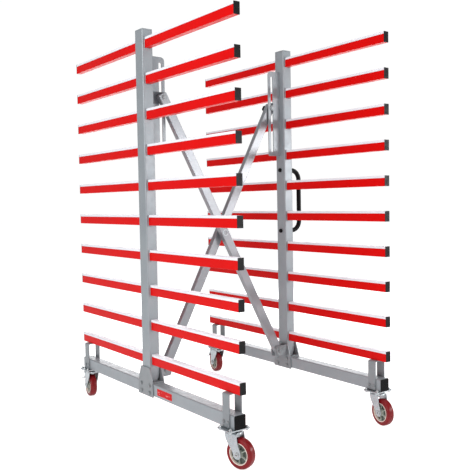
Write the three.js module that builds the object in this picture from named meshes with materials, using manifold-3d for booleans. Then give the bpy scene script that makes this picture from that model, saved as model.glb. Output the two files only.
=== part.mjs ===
// Folding two-column beam trolley on four casters.
//
// Two equal halves, each a column with ten cantilever beams on a base tube, are joined by a scissor:
// each arm pivots low on one half and slides in the slotted guide high on the other, so the halves
// move together and apart while both stay upright. Millimetres, +Z up. The origin is on the floor
// midway between the columns; the beams run along X and the halves stand apart along Y.

import * as THREE from 'three';
import { mergeVertices } from 'three/addons/utils/BufferGeometryUtils.js';
import Module from 'manifold-3d';

// ---- Driving dimensions ----
const GAP = 0.3;                      // between touching pieces

const SPACING = 860;                  // column to column
const LEVELS = 10;                    // beams on each column
const PITCH = 165;                    // beam to beam
const BEAM_LOW = 332;                 // centre height of the lowest beam
const BEAM = { length: 1450, width: 30, height: 50, wall: 2.5, cap: 3, relief: 0.8 };
const DRAIN = { r: 3, x: 600 };       // drain holes in a beam's underside

const COLUMN = { x: 70, y: 56, wall: 3, corner: 6, top: 1876, taperTop: 292, taperY: 16 };
const CAP_TOP = 1882;

const BASE = { length: 1398, y: 56, z: 58, z0: 164, wall: 3, corner: 5, cap: 3 };
const STAY = { x: 650, width: 45, thick: 5, z0: 167, corner: 8, boltX: 14, boltZ: 189 };
const BRACKET = { thick: 5, saddle: 4.7, z0: 158, top: 295, boltX: 38, boltZ: [176, 211] };

const PIVOT = { y: 84, z: 260, r: 6, ear: 5, earR: 30, earCorner: 14 };   // y from the column centre
const ARM = { width: 45, thick: 28, wall: 3, inner: 6.9, end: 18, corner: 5, hole: 6.35 };
const CENTRE_PIN = { r: 12, bore: 8.5, hole: 12.35, flange: 16, proud: 1.5 };
const SLIDER_Z = 1572;
const GUIDE = { y: 108, z0: 1316, z1: 1766, thick: 6, cornerTop: 22, cornerLow: 8 };
const SLOT = { y: 84, width: 16, z0: 1337, z1: 1740 };
const SHOE = { y0: 40, y1: 102, half: 28, thick: 3, boss: 7.7 };
const KNOB = { r: 20, hub: 10, length: 26, bore: 6.3, flutes: 6 };

const HANDLE = { z0: 910, z1: 1240, out: 103, r: 12.5, bend: 52, bolt: 4.2, hole: 4.7, capR: 11, cap: 10 };

const CASTER = { x: 658, trail: 34, plateX: 90, plateY: 108, plate: 5, boltX: 33, boltY: 42 };
const WHEEL = { r: 63.5, width: 36, hub: 46, hubR: 17, bore: 5.4, axle: 5, rim: 45 };
const FORK = { inner: 24.5, thick: 4, top: 149.7, crown: 11, kingR: 8 };
const PEDAL = { x: 50, z: 134, r: 3.6, hole: 3.9, foot: 56 };   // hinge, from the swivel axis and floor
// Swivel angle of each caster's trail from +X, at rest.
const TRAIL_ANGLE = { front_left: 172, front_right: 16, rear_left: 171, rear_right: -8 };

const HALF = SPACING / 2;
const CENTRE_Z = (PIVOT.z + SLIDER_Z) / 2;
const SPAN = SPACING - 2 * PIVOT.y;
const RISE = SLIDER_Z - PIVOT.z;
const ARM_LENGTH = Math.hypot(SPAN, RISE);
const ARM_TILT = Math.atan2(SPAN, RISE);

// ---- Materials ----
const paint = (color, roughness, metalness) =>
  new THREE.MeshStandardMaterial({ color, roughness, metalness });
const GREY = () => paint(0x8f949a, 0.45, 0.35);
const ARM_GREY = () => paint(0xa4a8ac, 0.35, 0.5);
const RED = () => paint(0xd8170f, 0.3, 0.15);
const BLACK = () => paint(0x17181a, 0.55, 0.0);
const ZINC = () => paint(0xb9bdbd, 0.35, 0.8);
const TREAD = () => paint(0x8e141b, 0.4, 0.0);

// ---- Solids ----
const wasm = await Module();
wasm.setup();

function solid(geometry) {
  const g = geometry.clone();
  g.deleteAttribute('normal');
  g.deleteAttribute('uv');
  const m = mergeVertices(g, 1e-4);
  return new wasm.Manifold(new wasm.Mesh({
    numProp: 3,
    vertProperties: new Float32Array(m.attributes.position.array),
    triVerts: new Uint32Array(m.index.array),
  }));
}

function geometryOf(manifold) {
  const mesh = manifold.getMesh();
  const g = new THREE.BufferGeometry();
  g.setAttribute('position', new THREE.BufferAttribute(new Float32Array(mesh.vertProperties), 3));
  g.setIndex(new THREE.BufferAttribute(new Uint32Array(mesh.triVerts), 1));
  const flat = g.toNonIndexed();
  flat.computeVertexNormals();
  return flat;
}

const join = (first, ...rest) => rest.reduce((sum, s) => sum.add(s), first);
const cut = (first, ...rest) => rest.reduce((sum, s) => sum.subtract(s), first);

const boxGeometry = (x0, x1, y0, y1, z0, z1) => new THREE.BoxGeometry(x1 - x0, y1 - y0, z1 - z0)
  .translate((x0 + x1) / 2, (y0 + y1) / 2, (z0 + z1) / 2);
const box = (...limits) => solid(boxGeometry(...limits));

// Cylinder along X, Y or Z, centred across its axis on (a, b), the two other coordinates in order.
function rod(axis, r, from, to, a, b, sides = 16) {
  const g = new THREE.CylinderGeometry(r, r, to - from, sides);
  const mid = (from + to) / 2;
  if (axis === 'x') return solid(g.rotateZ(Math.PI / 2).translate(mid, a, b));
  if (axis === 'y') return solid(g.translate(a, mid, b));
  return solid(g.rotateX(Math.PI / 2).translate(a, b, mid));
}

// Closed outline with rounded corners; each point is [u, v, radius].
function outline(points, Type = THREE.Shape) {
  const shape = new Type();
  const n = points.length;
  points.forEach(([u, v, r = 0], i) => {
    const [pu, pv] = points[(i + n - 1) % n];
    const [nu, nv] = points[(i + 1) % n];
    const back = Math.hypot(pu - u, pv - v);
    const ahead = Math.hypot(nu - u, nv - v);
    const a = [u + (pu - u) * r / back, v + (pv - v) * r / back];
    const b = [u + (nu - u) * r / ahead, v + (nv - v) * r / ahead];
    if (i === 0) shape.moveTo(...a); else shape.lineTo(...a);
    if (r > 0) shape.quadraticCurveTo(u, v, ...b);
  });
  shape.closePath();
  return shape;
}

const rectangle = (u0, u1, v0, v1, r) => [[u0, v0, r], [u1, v0, r], [u1, v1, r], [u0, v1, r]];

const extrude = (shape, depth, curveSegments = 3) =>
  new THREE.ExtrudeGeometry(shape, { depth, bevelEnabled: false, curveSegments });

// Outline in Y and Z, extruded along X.
const alongX = (shape, x0, x1, segments) => extrude(shape, x1 - x0, segments)
  .applyMatrix4(new THREE.Matrix4().set(0, 0, 1, x0, 1, 0, 0, 0, 0, 1, 0, 0, 0, 0, 0, 1));
// Outline in X and Z, extruded along Y.
const alongY = (shape, y0, y1, segments) => extrude(shape, y1 - y0, segments)
  .applyMatrix4(new THREE.Matrix4().set(1, 0, 0, 0, 0, 0, -1, y1, 0, 1, 0, 0, 0, 0, 0, 1));
const alongZ = (shape, z0, z1, segments) => extrude(shape, z1 - z0, segments).translate(0, 0, z0);

// Stadium along Z between two centres on the line u = 0, as points of an outline.
function stadium(v0, v1, r, Type = THREE.Shape) {
  const shape = new Type();
  shape.absarc(0, v1, r, 0, Math.PI, false);
  shape.absarc(0, v0, r, Math.PI, 2 * Math.PI, false);
  shape.closePath();
  return shape;
}

// ---- Assembly ----
const trolley = new THREE.Group();

function add(parent, name, manifoldOrGeometry, material) {
  const geometry = manifoldOrGeometry.isBufferGeometry ? manifoldOrGeometry : geometryOf(manifoldOrGeometry);
  const mesh = new THREE.Mesh(geometry, material);
  mesh.name = name;
  parent.add(mesh);
  return mesh;
}

const levelZ = (level) => BEAM_LOW + (LEVELS - level) * PITCH;

function column(withHandleHoles) {
  const { x, y, wall, corner, top, taperTop, taperY } = COLUMN;
  const section = outline(rectangle(-x / 2, x / 2, -y / 2, y / 2, corner));
  section.holes.push(outline(rectangle(-x / 2 + wall, x / 2 - wall, -y / 2 + wall, y / 2 - wall, corner / 2),
    THREE.Path));
  const low = BASE.z0 + BASE.z + GAP + BRACKET.saddle + GAP;
  let body = join(
    solid(alongZ(section, taperTop - 2, top, 3)),
    solid(alongX(outline([
      [-taperY, low, 4], [taperY, low, 4], [y / 2 - 4, low + 24, 10], [y / 2, taperTop - 20],
      [y / 2, taperTop], [-y / 2, taperTop], [-y / 2, taperTop - 20], [-y / 2 + 4, low + 24, 10],
    ]), -x / 2, x / 2)),
  );
  const w = BEAM.width / 2 + GAP;
  const h = BEAM.height / 2 + GAP;
  for (let level = 1; level <= LEVELS; level++) {
    const z = levelZ(level);
    body = cut(body, box(-x, x, -w, w, z - h, z + h));
  }
  if (withHandleHoles) {
    for (const z of [HANDLE.z0, HANDLE.z1]) body = cut(body, rod('y', HANDLE.hole, -y, y, 0, z, 10));
  }
  return body;
}

function beam() {
  const { length, width, height, wall, cap } = BEAM;
  const l = length / 2;
  const w = width / 2;
  const h = height / 2;
  return cut(
    box(-l, l, -w, w, -h, h),
    box(-l + cap, l - cap, -w + wall, w - wall, -h + wall, h - wall),
    box(-COLUMN.x / 2 - 1, COLUMN.x / 2 + 1, -w - 1, w + 1, h - BEAM.relief, h + 1),
    rod('z', DRAIN.r, -h - 1, -h + wall + 1, -DRAIN.x, 0, 8),
    rod('z', DRAIN.r, -h - 1, -h + wall + 1, DRAIN.x, 0, 8),
  );
}

function baseTube() {
  const { length, y, z, z0, wall, corner } = BASE;
  const section = outline(rectangle(-y / 2, y / 2, z0, z0 + z, corner));
  section.holes.push(outline(rectangle(-y / 2 + wall, y / 2 - wall, z0 + wall, z0 + z - wall, corner / 2),
    THREE.Path));
  return alongX(section, -length / 2, length / 2);
}

function baseCap(side) {
  const { length, y, z, z0, wall, cap, corner } = BASE;
  const inset = wall + GAP;
  const face = length / 2 + GAP;
  const shell = solid(alongX(outline(rectangle(-y / 2, y / 2, z0, z0 + z, corner)), face, face + cap - GAP));
  const plug = solid(alongX(outline(rectangle(-y / 2 + inset, y / 2 - inset, z0 + inset, z0 + z - inset, 3)),
    face - 16, face + 1));
  const turned = join(shell, plug);
  return side > 0 ? turned : turned.rotate([0, 0, 180]);
}

function stay() {
  const inner = BASE.y / 2 + GAP;
  const outer = inner + STAY.thick;
  const top = BEAM_LOW - BEAM.height / 2 - GAP;
  const low = STAY.z0;
  let body = solid(alongX(outline([
    [-outer, low], [-inner, low], [-inner, top - STAY.thick, 4], [inner, top - STAY.thick, 4], [inner, low],
    [outer, low], [outer, top, STAY.corner], [-outer, top, STAY.corner],
  ]), -STAY.width / 2, STAY.width / 2));
  for (const x of [-STAY.boltX, STAY.boltX]) {
    body = join(body, rod('y', 6.5, outer - 1, outer + 4, x, STAY.boltZ, 6),
      rod('y', 6.5, -outer - 4, -outer + 1, x, STAY.boltZ, 6));
  }
  return body;
}

// Saddle over the base tube, with a flared plate on each side and, on the inner one, the lugs and pin
// that one scissor arm turns on. armX is the arm's middle.
function footBracket(armX) {
  const inner = BASE.y / 2 + GAP;
  const outer = inner + BRACKET.thick;
  const baseTop = BASE.z0 + BASE.z + GAP;
  const plate = (y0, y1) => solid(alongY(outline([
    [-70, BRACKET.z0, 5], [70, BRACKET.z0, 5], [64, 233, 20], [40, BRACKET.top, 6], [-40, BRACKET.top, 6],
    [-64, 233, 20],
  ]), y0, y1));
  const x0 = armX - ARM.thick / 2 - 0.7;
  const x1 = armX + ARM.thick / 2 + 0.7;
  const { earR, earCorner } = PIVOT;
  const ear = (a, b) => solid(alongX(outline([
    [outer - 1, PIVOT.z - earR], [PIVOT.y + earR, PIVOT.z - earR, earCorner],
    [PIVOT.y + earR, PIVOT.z + earR, earCorner], [outer - 1, PIVOT.z + earR],
  ]), a, b, 6));
  let body = join(
    plate(-outer, -inner), plate(inner, outer),
    box(-62, 62, -inner - 1, inner + 1, baseTop, baseTop + BRACKET.saddle),
    ear(x0 - PIVOT.ear, x0), ear(x1, x1 + PIVOT.ear),
    rod('x', PIVOT.r, x0 - 1, x1 + 1, PIVOT.y, PIVOT.z, 20),
    rod('x', 10, x0 - PIVOT.ear - 5, x0 - 1, PIVOT.y, PIVOT.z, 6),
    rod('x', 10, x1 + 1, x1 + PIVOT.ear + 5, PIVOT.y, PIVOT.z, 6),
  );
  for (const x of [-BRACKET.boltX, BRACKET.boltX]) {
    for (const z of BRACKET.boltZ) {
      body = join(body, rod('y', 8, outer - 1, outer + 5, x, z, 6),
        rod('y', 8, -outer - 5, -outer + 1, x, z, 6));
    }
  }
  return body;
}

function guide() {
  const y0 = COLUMN.y / 2 + GAP;
  const plate = outline([
    [y0, GUIDE.z0, 3], [GUIDE.y, GUIDE.z0, GUIDE.cornerLow], [GUIDE.y, GUIDE.z1, GUIDE.cornerTop],
    [y0, GUIDE.z1, 3],
  ]);
  const slot = solid(alongX(stadium(SLOT.z0 + SLOT.width / 2, SLOT.z1 - SLOT.width / 2, SLOT.width / 2),
    -10, 10, 8)).translate([0, SLOT.y, 0]);
  return cut(solid(alongX(plate, -GUIDE.thick / 2, GUIDE.thick / 2, 5)), slot);
}

// Shoe beside the guide with its boss in the slot, and the clamp bolt through the arm. armSide is +1
// when the arm is on the guide's +X side; the bolt's head is always towards +X. Column centre at y = 0.
function slider(armSide, inward) {
  const face = GUIDE.thick / 2 + GAP;
  const armIn = ARM.inner;
  const armOut = ARM.inner + ARM.thick;
  const shoe = armSide > 0 ? [face, face + SHOE.thick] : [-face - SHOE.thick, -face];
  const y = (v) => v * inward;
  const [ya, yb] = [y(SHOE.y0), y(SHOE.y1)].sort((p, q) => p - q);
  const pivotY = y(SLOT.y);
  const block = solid(alongX(outline(rectangle(ya, yb, -SHOE.half, SHOE.half, 5)), ...shoe));
  const head = armSide > 0 ? armOut + GAP : face;
  const tail = armSide > 0 ? -face - 4 - GAP - 18 : -armOut - GAP - 18;
  const washer = armSide > 0
    ? rod('x', 14, -face - 4, -face, pivotY, 0, 20)
    : rod('x', 14, face, face + 4, pivotY, 0, 20);
  return join(
    block, washer,
    rod('x', SHOE.boss, -face - 1, face + 1, pivotY, 0, 20),
    rod('x', PIVOT.r, tail, head + 2, pivotY, 0, 20),
    rod('x', 10, head, head + 6.5, pivotY, 0, 6),
  );
}

// Fluted clamp knob along X; its mouth at x = 0 and its body towards -X.
function knob() {
  let body = join(
    rod('x', KNOB.r, -KNOB.length, -7, 0, 0, 36),
    rod('x', KNOB.hub, -9, 0, 0, 0, 24),
  );
  for (let i = 0; i < KNOB.flutes; i++) {
    const a = (i + 0.5) * 2 * Math.PI / KNOB.flutes;
    const [y, z] = [(KNOB.r + 3.5) * Math.cos(a), (KNOB.r + 3.5) * Math.sin(a)];
    body = cut(body, rod('x', 5.5, -KNOB.length - 1, -6, y, z, 12));
  }
  return cut(body, rod('x', KNOB.bore, -19, 1, 0, 0, 20));
}

// Rectangular-tube arm with closed square ends, upright about its centre: outline in Y and Z.
function arm(x0) {
  const reach = ARM_LENGTH / 2;
  const x1 = x0 + ARM.thick;
  const section = (inset, corner) => {
    const [w, l] = [ARM.width / 2 - inset, reach + ARM.end - inset];
    return outline(rectangle(-w, w, -l, l, corner));
  };
  return cut(
    solid(alongX(section(0, ARM.corner), x0, x1)),
    solid(alongX(section(ARM.wall, ARM.corner - 3), x0 + ARM.wall, x1 - ARM.wall)),
    rod('x', ARM.hole, x0 - 1, x1 + 1, 0, reach, 20),
    rod('x', ARM.hole, x0 - 1, x1 + 1, 0, -reach, 20),
    rod('x', CENTRE_PIN.hole, x0 - 1, x1 + 1, 0, 0, 28),
  );
}

// Hollow pin through both arms, with a spacer between them and a flange at the far end.
function centrePin() {
  const { r, bore, flange, proud } = CENTRE_PIN;
  const near = ARM.inner + ARM.thick + proud;
  const far = -ARM.inner - ARM.thick;
  return cut(
    join(
      rod('x', r, far - 4, near, 0, 0, 28),
      rod('x', flange, -ARM.inner + GAP, ARM.inner - GAP, 0, 0, 28),
      rod('x', flange, far - 6, far - GAP, 0, 0, 28),
    ),
    rod('x', bore, far - 7, near + 1, 0, 0, 20),
  );
}

// D handle in its column's frame: column centre at x = y = 0, outward +Y.
function handle() {
  const { z0, z1, out, r, bend, bolt, capR, cap } = HANDLE;
  const root = COLUMN.y / 2 + GAP;
  const path = new THREE.CurvePath();
  const point = (y, z) => new THREE.Vector3(0, y, z);
  path.add(new THREE.LineCurve3(point(root, z1), point(out - bend, z1)));
  path.add(new THREE.QuadraticBezierCurve3(point(out - bend, z1), point(out, z1), point(out, z1 - bend)));
  path.add(new THREE.LineCurve3(point(out, z1 - bend), point(out, z0 + bend)));
  path.add(new THREE.QuadraticBezierCurve3(point(out, z0 + bend), point(out, z0), point(out - bend, z0)));
  path.add(new THREE.LineCurve3(point(out - bend, z0), point(root, z0)));
  const points = [];
  path.curves.forEach((c, i) => {
    const steps = i % 2 ? 5 : 1;
    for (let k = i ? 1 : 0; k <= steps; k++) points.push(c.getPoint(k / steps));
  });
  const parts = [solid(ringTube(points, r, 12))];
  for (const z of [z0, z1]) {
    parts.push(rod('y', 17, root, root + 5, 0, z, 20));
    parts.push(rod('y', bolt, -root - 1, root + 2, 0, z, 10));
    parts.push(rod('y', capR, -root - cap, -root, 0, z, 20));
  }
  return join(...parts);
}

// Closed tube through points that lie in the Y-Z plane, mitred at each point.
function ringTube(points, r, sides) {
  const position = [];
  const index = [];
  points.forEach((p, i) => {
    const before = points[Math.max(i - 1, 0)];
    const after = points[Math.min(i + 1, points.length - 1)];
    const tangent = after.clone().sub(before).normalize();
    const across = new THREE.Vector3(0, -tangent.z, tangent.y);
    for (let k = 0; k < sides; k++) {
      const a = 2 * Math.PI * k / sides;
      const [u, v] = [r * Math.cos(a), r * Math.sin(a)];
      position.push(p.x + u, p.y + across.y * v, p.z + across.z * v);
    }
  });
  for (let i = 0; i + 1 < points.length; i++) {
    for (let k = 0; k < sides; k++) {
      const a = i * sides + k;
      const b = i * sides + (k + 1) % sides;
      index.push(a, a + sides, b, b, a + sides, b + sides);
    }
  }
  const last = (points.length - 1) * sides;
  for (let k = 1; k + 1 < sides; k++) {
    index.push(0, k, k + 1);
    index.push(last, last + k + 1, last + k);
  }
  const g = new THREE.BufferGeometry();
  g.setAttribute('position', new THREE.Float32BufferAttribute(position, 3));
  g.setIndex(index);
  return g;
}

// ---- Casters: origin on the floor under the swivel axis, trail towards +X ----
function casterPlate() {
  const top = BASE.z0 - GAP;
  const { plateX, plateY, plate, boltX, boltY } = CASTER;
  let body = join(
    solid(alongZ(outline(rectangle(-plateX / 2, plateX / 2, -plateY / 2, plateY / 2, 8)), top - plate, top)),
    rod('z', 33, FORK.top + GAP, top - plate + 1, 0, 0, 28),
    rod('z', FORK.kingR, 130, top - plate, 0, 0, 20),
    rod('z', 13, 129, FORK.top - FORK.crown - GAP, 0, 0, 6),
  );
  for (const x of [-boltX, boltX]) {
    for (const y of [-boltY, boltY]) {
      body = join(body, rod('z', 7.5, top - 1, top + 6, x, y, 6), rod('z', 4, top + 5, top + 9, x, y, 8),
        rod('z', 7.5, top - plate - 7, top - plate + 1, x, y, 6));
    }
  }
  return body;
}

function fork(withPedal) {
  const { trail } = CASTER;
  const { inner, thick, top, crown, kingR } = FORK;
  const outer = inner + thick;
  const back = withPedal
    ? [[48, 110, 10], [62, 122, 6], [60, 143, 6], [42, top, 6]]
    : [[44, 92, 6], [35, 124, 12], [32, top, 5]];
  const leg = outline([
    [-27, top, 5], [-25, 132, 8], [-11, 88, 8], [trail - 19, 47, 14], [trail + 15, 45, 14],
    [trail + 15, 75, 8], ...back,
  ]);
  const side = (y0, y1) => solid(alongY(leg, y0, y1, 4));
  let body = join(
    side(-outer, -inner), side(inner, outer),
    box(-26, 31, -inner - 1, inner + 1, top - crown, top),
    rod('z', 36, top - crown, top, 0, 0, 28),
    rod('y', WHEEL.axle, -outer - 1, outer + 1, trail, WHEEL.r, 16),
    rod('y', 9, outer - 1, outer + 5, trail, WHEEL.r, 6),
    rod('y', 9, -outer - 5, -outer + 1, trail, WHEEL.r, 6),
  );
  body = cut(body, rod('z', kingR + 0.5, top - crown - 1, top + 1, 0, 0, 20));
  if (withPedal) body = cut(body, rod('y', PEDAL.hole, -outer - 1, outer + 1, PEDAL.x, PEDAL.z, 12));
  return body;
}

function wheel() {
  const { r, width, hub, hubR, bore, rim } = WHEEL;
  const w = width / 2;
  const profile = [
    [bore, -hub / 2], [hubR, -hub / 2], [hubR, -7], [rim - 5, -7], [rim - 2, -w], [r - 6, -w],
    [r - 1, -w + 5], [r, 0], [r - 1, w - 5], [r - 6, w], [rim - 2, w], [rim - 5, 7], [hubR, 7],
    [hubR, hub / 2], [bore, hub / 2], [bore, -hub / 2],
  ].map(([u, v]) => new THREE.Vector2(u, v));
  return new THREE.LatheGeometry(profile, 26);
}

function pedal() {
  const w = FORK.inner - 0.6;
  const outer = FORK.inner + FORK.thick;
  const lever = outline([
    [43, 130, 2], [57, 127, 2], [78, 118, 3], [90, 106, 3], [98, 90, 1], [103, 89, 1], [96, 109, 4],
    [82, 124, 4], [60, 140, 4], [45, 140, 3],
  ]);
  const foot = outline([[97, 88, 2], [128, 81, 2], [131, 85, 2], [126, 86, 3], [101, 93, 3]]);
  return join(
    solid(alongY(lever, -w + 5, w - 5)),
    solid(alongY(foot, -PEDAL.foot / 2, PEDAL.foot / 2)),
    solid(alongY(outline(rectangle(43, 60, 130, 139, 3)), -w, w)),
    rod('y', PEDAL.r, -outer - 3, outer + 3, PEDAL.x, PEDAL.z, 12),
  );
}

function caster(corner) {
  const rear = corner.startsWith('rear');
  const left = corner.endsWith('left');
  const group = new THREE.Group();
  group.position.set(left ? -CASTER.x : CASTER.x, rear ? HALF : -HALF, 0);
  trolley.add(group);
  add(group, `caster_plate_${corner}`, casterPlate(), ZINC());
  const swivel = new THREE.Group();
  swivel.rotation.z = THREE.MathUtils.degToRad(TRAIL_ANGLE[corner]);
  group.add(swivel);
  add(swivel, `caster_fork_${corner}`, fork(left), ZINC());
  add(swivel, `caster_wheel_${corner}`, wheel(), TREAD()).position.set(CASTER.trail, 0, WHEEL.r);
  if (left) add(swivel, `brake_pedal_${corner}`, pedal(), ZINC());
}

// ---- The two halves ----
for (const half of ['front', 'rear']) {
  const rear = half === 'rear';
  const group = new THREE.Group();
  group.position.y = rear ? HALF : -HALF;
  group.rotation.z = rear ? Math.PI : 0;
  trolley.add(group);
  // In the turned rear group, local -X is the trolley's right.
  const right = rear ? -1 : 1;

  add(group, `column_${half}`, column(rear), GREY());
  add(group, `column_cap_${half}`,
    alongZ(outline(rectangle(-COLUMN.x / 2, COLUMN.x / 2, -COLUMN.y / 2, COLUMN.y / 2, COLUMN.corner)),
      COLUMN.top + GAP, CAP_TOP), GREY());
  for (let level = 1; level <= LEVELS; level++) {
    add(group, `beam_${half}_${String(level).padStart(2, '0')}`, beam(), RED()).position.z = levelZ(level);
  }
  add(group, `base_tube_${half}`, baseTube(), GREY());
  add(group, `base_cap_${half}_left`, baseCap(-right), BLACK());
  add(group, `base_cap_${half}_right`, baseCap(right), BLACK());
  add(group, `stay_${half}_left`, stay(), GREY()).position.x = -right * STAY.x;
  add(group, `stay_${half}_right`, stay(), GREY()).position.x = right * STAY.x;
  add(group, `foot_bracket_${half}`, footBracket(-ARM.inner - ARM.thick / 2), GREY());
  add(group, `guide_${half}`, guide(), GREY());
}

// ---- Scissor ----
const scissorA = add(trolley, 'scissor_arm_a', arm(ARM.inner), ARM_GREY());
scissorA.position.z = CENTRE_Z;
scissorA.rotation.x = ARM_TILT;
const scissorB = add(trolley, 'scissor_arm_b', arm(-ARM.inner - ARM.thick), ARM_GREY());
scissorB.position.z = CENTRE_Z;
scissorB.rotation.x = -ARM_TILT;
add(trolley, 'centre_pin', centrePin(), ZINC()).position.z = CENTRE_Z;

add(trolley, 'slider_front', slider(1, 1), BLACK()).position.set(0, -HALF, SLIDER_Z);
add(trolley, 'slider_rear', slider(-1, -1), BLACK()).position.set(0, HALF, SLIDER_Z);
add(trolley, 'knob_front', knob(), BLACK())
  .position.set(-GUIDE.thick / 2 - 4 - 2 * GAP, -HALF + SLOT.y, SLIDER_Z);
add(trolley, 'knob_rear', knob(), BLACK())
  .position.set(-ARM.inner - ARM.thick - GAP, HALF - SLOT.y, SLIDER_Z);

add(trolley, 'handle', handle(), BLACK()).position.y = HALF;
for (const corner of Object.keys(TRAIL_ANGLE)) caster(corner);

export default trolley;
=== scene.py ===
import math

import bmesh
import bpy
from mathutils import Matrix, Vector
from mathutils.geometry import tessellate_polygon


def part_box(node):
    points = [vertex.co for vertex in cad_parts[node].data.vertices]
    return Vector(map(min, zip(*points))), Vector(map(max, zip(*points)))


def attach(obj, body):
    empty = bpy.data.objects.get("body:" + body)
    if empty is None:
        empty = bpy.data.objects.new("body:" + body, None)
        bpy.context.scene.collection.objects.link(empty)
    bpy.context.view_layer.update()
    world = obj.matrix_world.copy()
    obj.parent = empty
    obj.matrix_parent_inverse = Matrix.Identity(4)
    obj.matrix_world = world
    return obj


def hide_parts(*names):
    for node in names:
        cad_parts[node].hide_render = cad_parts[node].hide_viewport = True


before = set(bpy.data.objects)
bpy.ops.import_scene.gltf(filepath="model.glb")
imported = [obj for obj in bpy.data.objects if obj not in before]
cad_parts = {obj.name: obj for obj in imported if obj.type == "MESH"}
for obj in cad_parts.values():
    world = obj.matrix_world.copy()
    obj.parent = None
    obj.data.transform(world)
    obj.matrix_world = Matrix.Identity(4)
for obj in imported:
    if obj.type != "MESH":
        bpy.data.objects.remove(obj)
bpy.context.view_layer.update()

# Everything below is in millimetres until a piece is finished.
MM = 0.001


def limits(node):
    """Lowest and highest corner of a CAD node in millimetres."""
    low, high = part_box(node)
    return [v / MM for v in low], [v / MM for v in high]


def middle(node):
    low, high = limits(node)
    return [(a + b) / 2 for a, b in zip(low, high)]


def tone(red, green, blue):
    """Colour seen as that 0-255 value, as linear light."""
    out = []
    for v in (red, green, blue):
        v /= 255
        out.append(v / 12.92 if v <= 0.04045 else ((v + 0.055) / 1.055) ** 2.4)
    return (*out, 1.0)


# ---- Materials ----
class Look:
    """A node material on the Principled shader, with its patterns in the piece's own coordinates."""

    def __init__(self, name):
        self.material = bpy.data.materials.new(name)
        self.material.use_nodes = True
        self.tree = self.material.node_tree
        self.surface = self.tree.nodes["Principled BSDF"]
        self.coords = self.tree.nodes.new("ShaderNodeTexCoord").outputs["Object"]

    def link(self, source, socket):
        self.tree.links.new(source, socket)

    def mapped(self, stretch):
        if stretch is None:
            return self.coords
        mapping = self.tree.nodes.new("ShaderNodeMapping")
        mapping.inputs["Scale"].default_value = stretch
        self.link(self.coords, mapping.inputs["Vector"])
        return mapping.outputs["Vector"]

    def noise(self, scale, detail=3.0, roughness=0.55, stretch=None):
        n = self.tree.nodes.new("ShaderNodeTexNoise")
        n.inputs["Scale"].default_value = scale
        n.inputs["Detail"].default_value = detail
        n.inputs["Roughness"].default_value = roughness
        self.link(self.mapped(stretch), n.inputs["Vector"])
        return n.outputs["Fac"]

    def cells(self, scale, stretch=None):
        n = self.tree.nodes.new("ShaderNodeTexVoronoi")
        n.inputs["Scale"].default_value = scale
        self.link(self.mapped(stretch), n.inputs["Vector"])
        split = self.tree.nodes.new("ShaderNodeSeparateColor")
        self.link(n.outputs["Color"], split.inputs["Color"])
        return split.outputs["Red"]

    def ramp(self, factor, *stops):
        n = self.tree.nodes.new("ShaderNodeValToRGB")
        ends = n.color_ramp.elements
        while len(ends) < len(stops):
            ends.new(0.5)
        for element, (place, colour) in zip(ends, stops):
            element.position = place
            element.color = colour
        self.link(factor, n.inputs["Fac"])
        return n.outputs["Color"]

    def level(self, factor, low, high, start=0.3, end=0.7):
        n = self.tree.nodes.new("ShaderNodeMapRange")
        for name, value in (
            ("From Min", start),
            ("From Max", end),
            ("To Min", low),
            ("To Max", high),
        ):
            n.inputs[name].default_value = value
        self.link(factor, n.inputs["Value"])
        return n.outputs["Result"]

    def blend(self, factor, a, b, mode="MIX"):
        n = self.tree.nodes.new("ShaderNodeMix")
        n.data_type = "RGBA"
        n.blend_type = mode
        for index, value in ((0, factor), (6, a), (7, b)):
            if isinstance(value, bpy.types.NodeSocket):
                self.link(value, n.inputs[index])
            else:
                n.inputs[index].default_value = value
        return n.outputs[2]

    def bump(self, height, strength, distance):
        n = self.tree.nodes.new("ShaderNodeBump")
        n.inputs["Strength"].default_value = strength
        n.inputs["Distance"].default_value = distance
        self.link(height, n.inputs["Height"])
        self.link(n.outputs["Normal"], self.surface.inputs["Normal"])

    def set(self, **values):
        for name, value in values.items():
            socket = self.surface.inputs[name.replace("_", " ")]
            if isinstance(value, bpy.types.NodeSocket):
                self.link(value, socket)
            else:
                socket.default_value = value
        return self.material


def powder_coat(name, light, dark, roughness, metallic, gloss, peel=0.05):
    """Sprayed and baked paint: cloudy shade, fine speckle and orange peel."""
    k = Look(name)
    cloud = k.ramp(k.noise(5.0, 4.0), (0.3, dark), (0.7, light))
    grain = k.ramp(
        k.noise(1400.0, 2.0), (0.3, (0.93, 0.93, 0.93, 1)), (0.7, (1, 1, 1, 1))
    )
    k.bump(k.noise(520.0, 2.0), peel, 0.0004)
    return k.set(
        Base_Color=k.blend(1.0, cloud, grain, "MULTIPLY"),
        Metallic=metallic,
        Roughness=k.level(k.noise(38.0), roughness - 0.05, roughness + 0.06),
        Specular_IOR_Level=gloss,
    )


def bright_steel(
    name, light, dark, roughness, spangle=240.0, metallic=0.85, brushing=0.05, crystal=0.6,
    patchy=0.07,
):
    """Plated steel: cloudy shade, a faint crystal pattern and fine brushing."""
    k = Look(name)
    cloud = k.ramp(k.noise(14.0, 4.0), (0.3, dark), (0.7, light))
    flakes = k.ramp(
        k.cells(spangle), (0.0, (0.86, 0.87, 0.88, 1)), (1.0, (1, 1, 1, 1))
    )
    k.bump(k.noise(800.0, 2.0), brushing, 0.0002)
    return k.set(
        Base_Color=k.blend(crystal, cloud, flakes, "MULTIPLY"),
        Metallic=metallic,
        Roughness=k.level(k.noise(90.0), roughness - patchy, roughness + patchy),
    )


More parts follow.
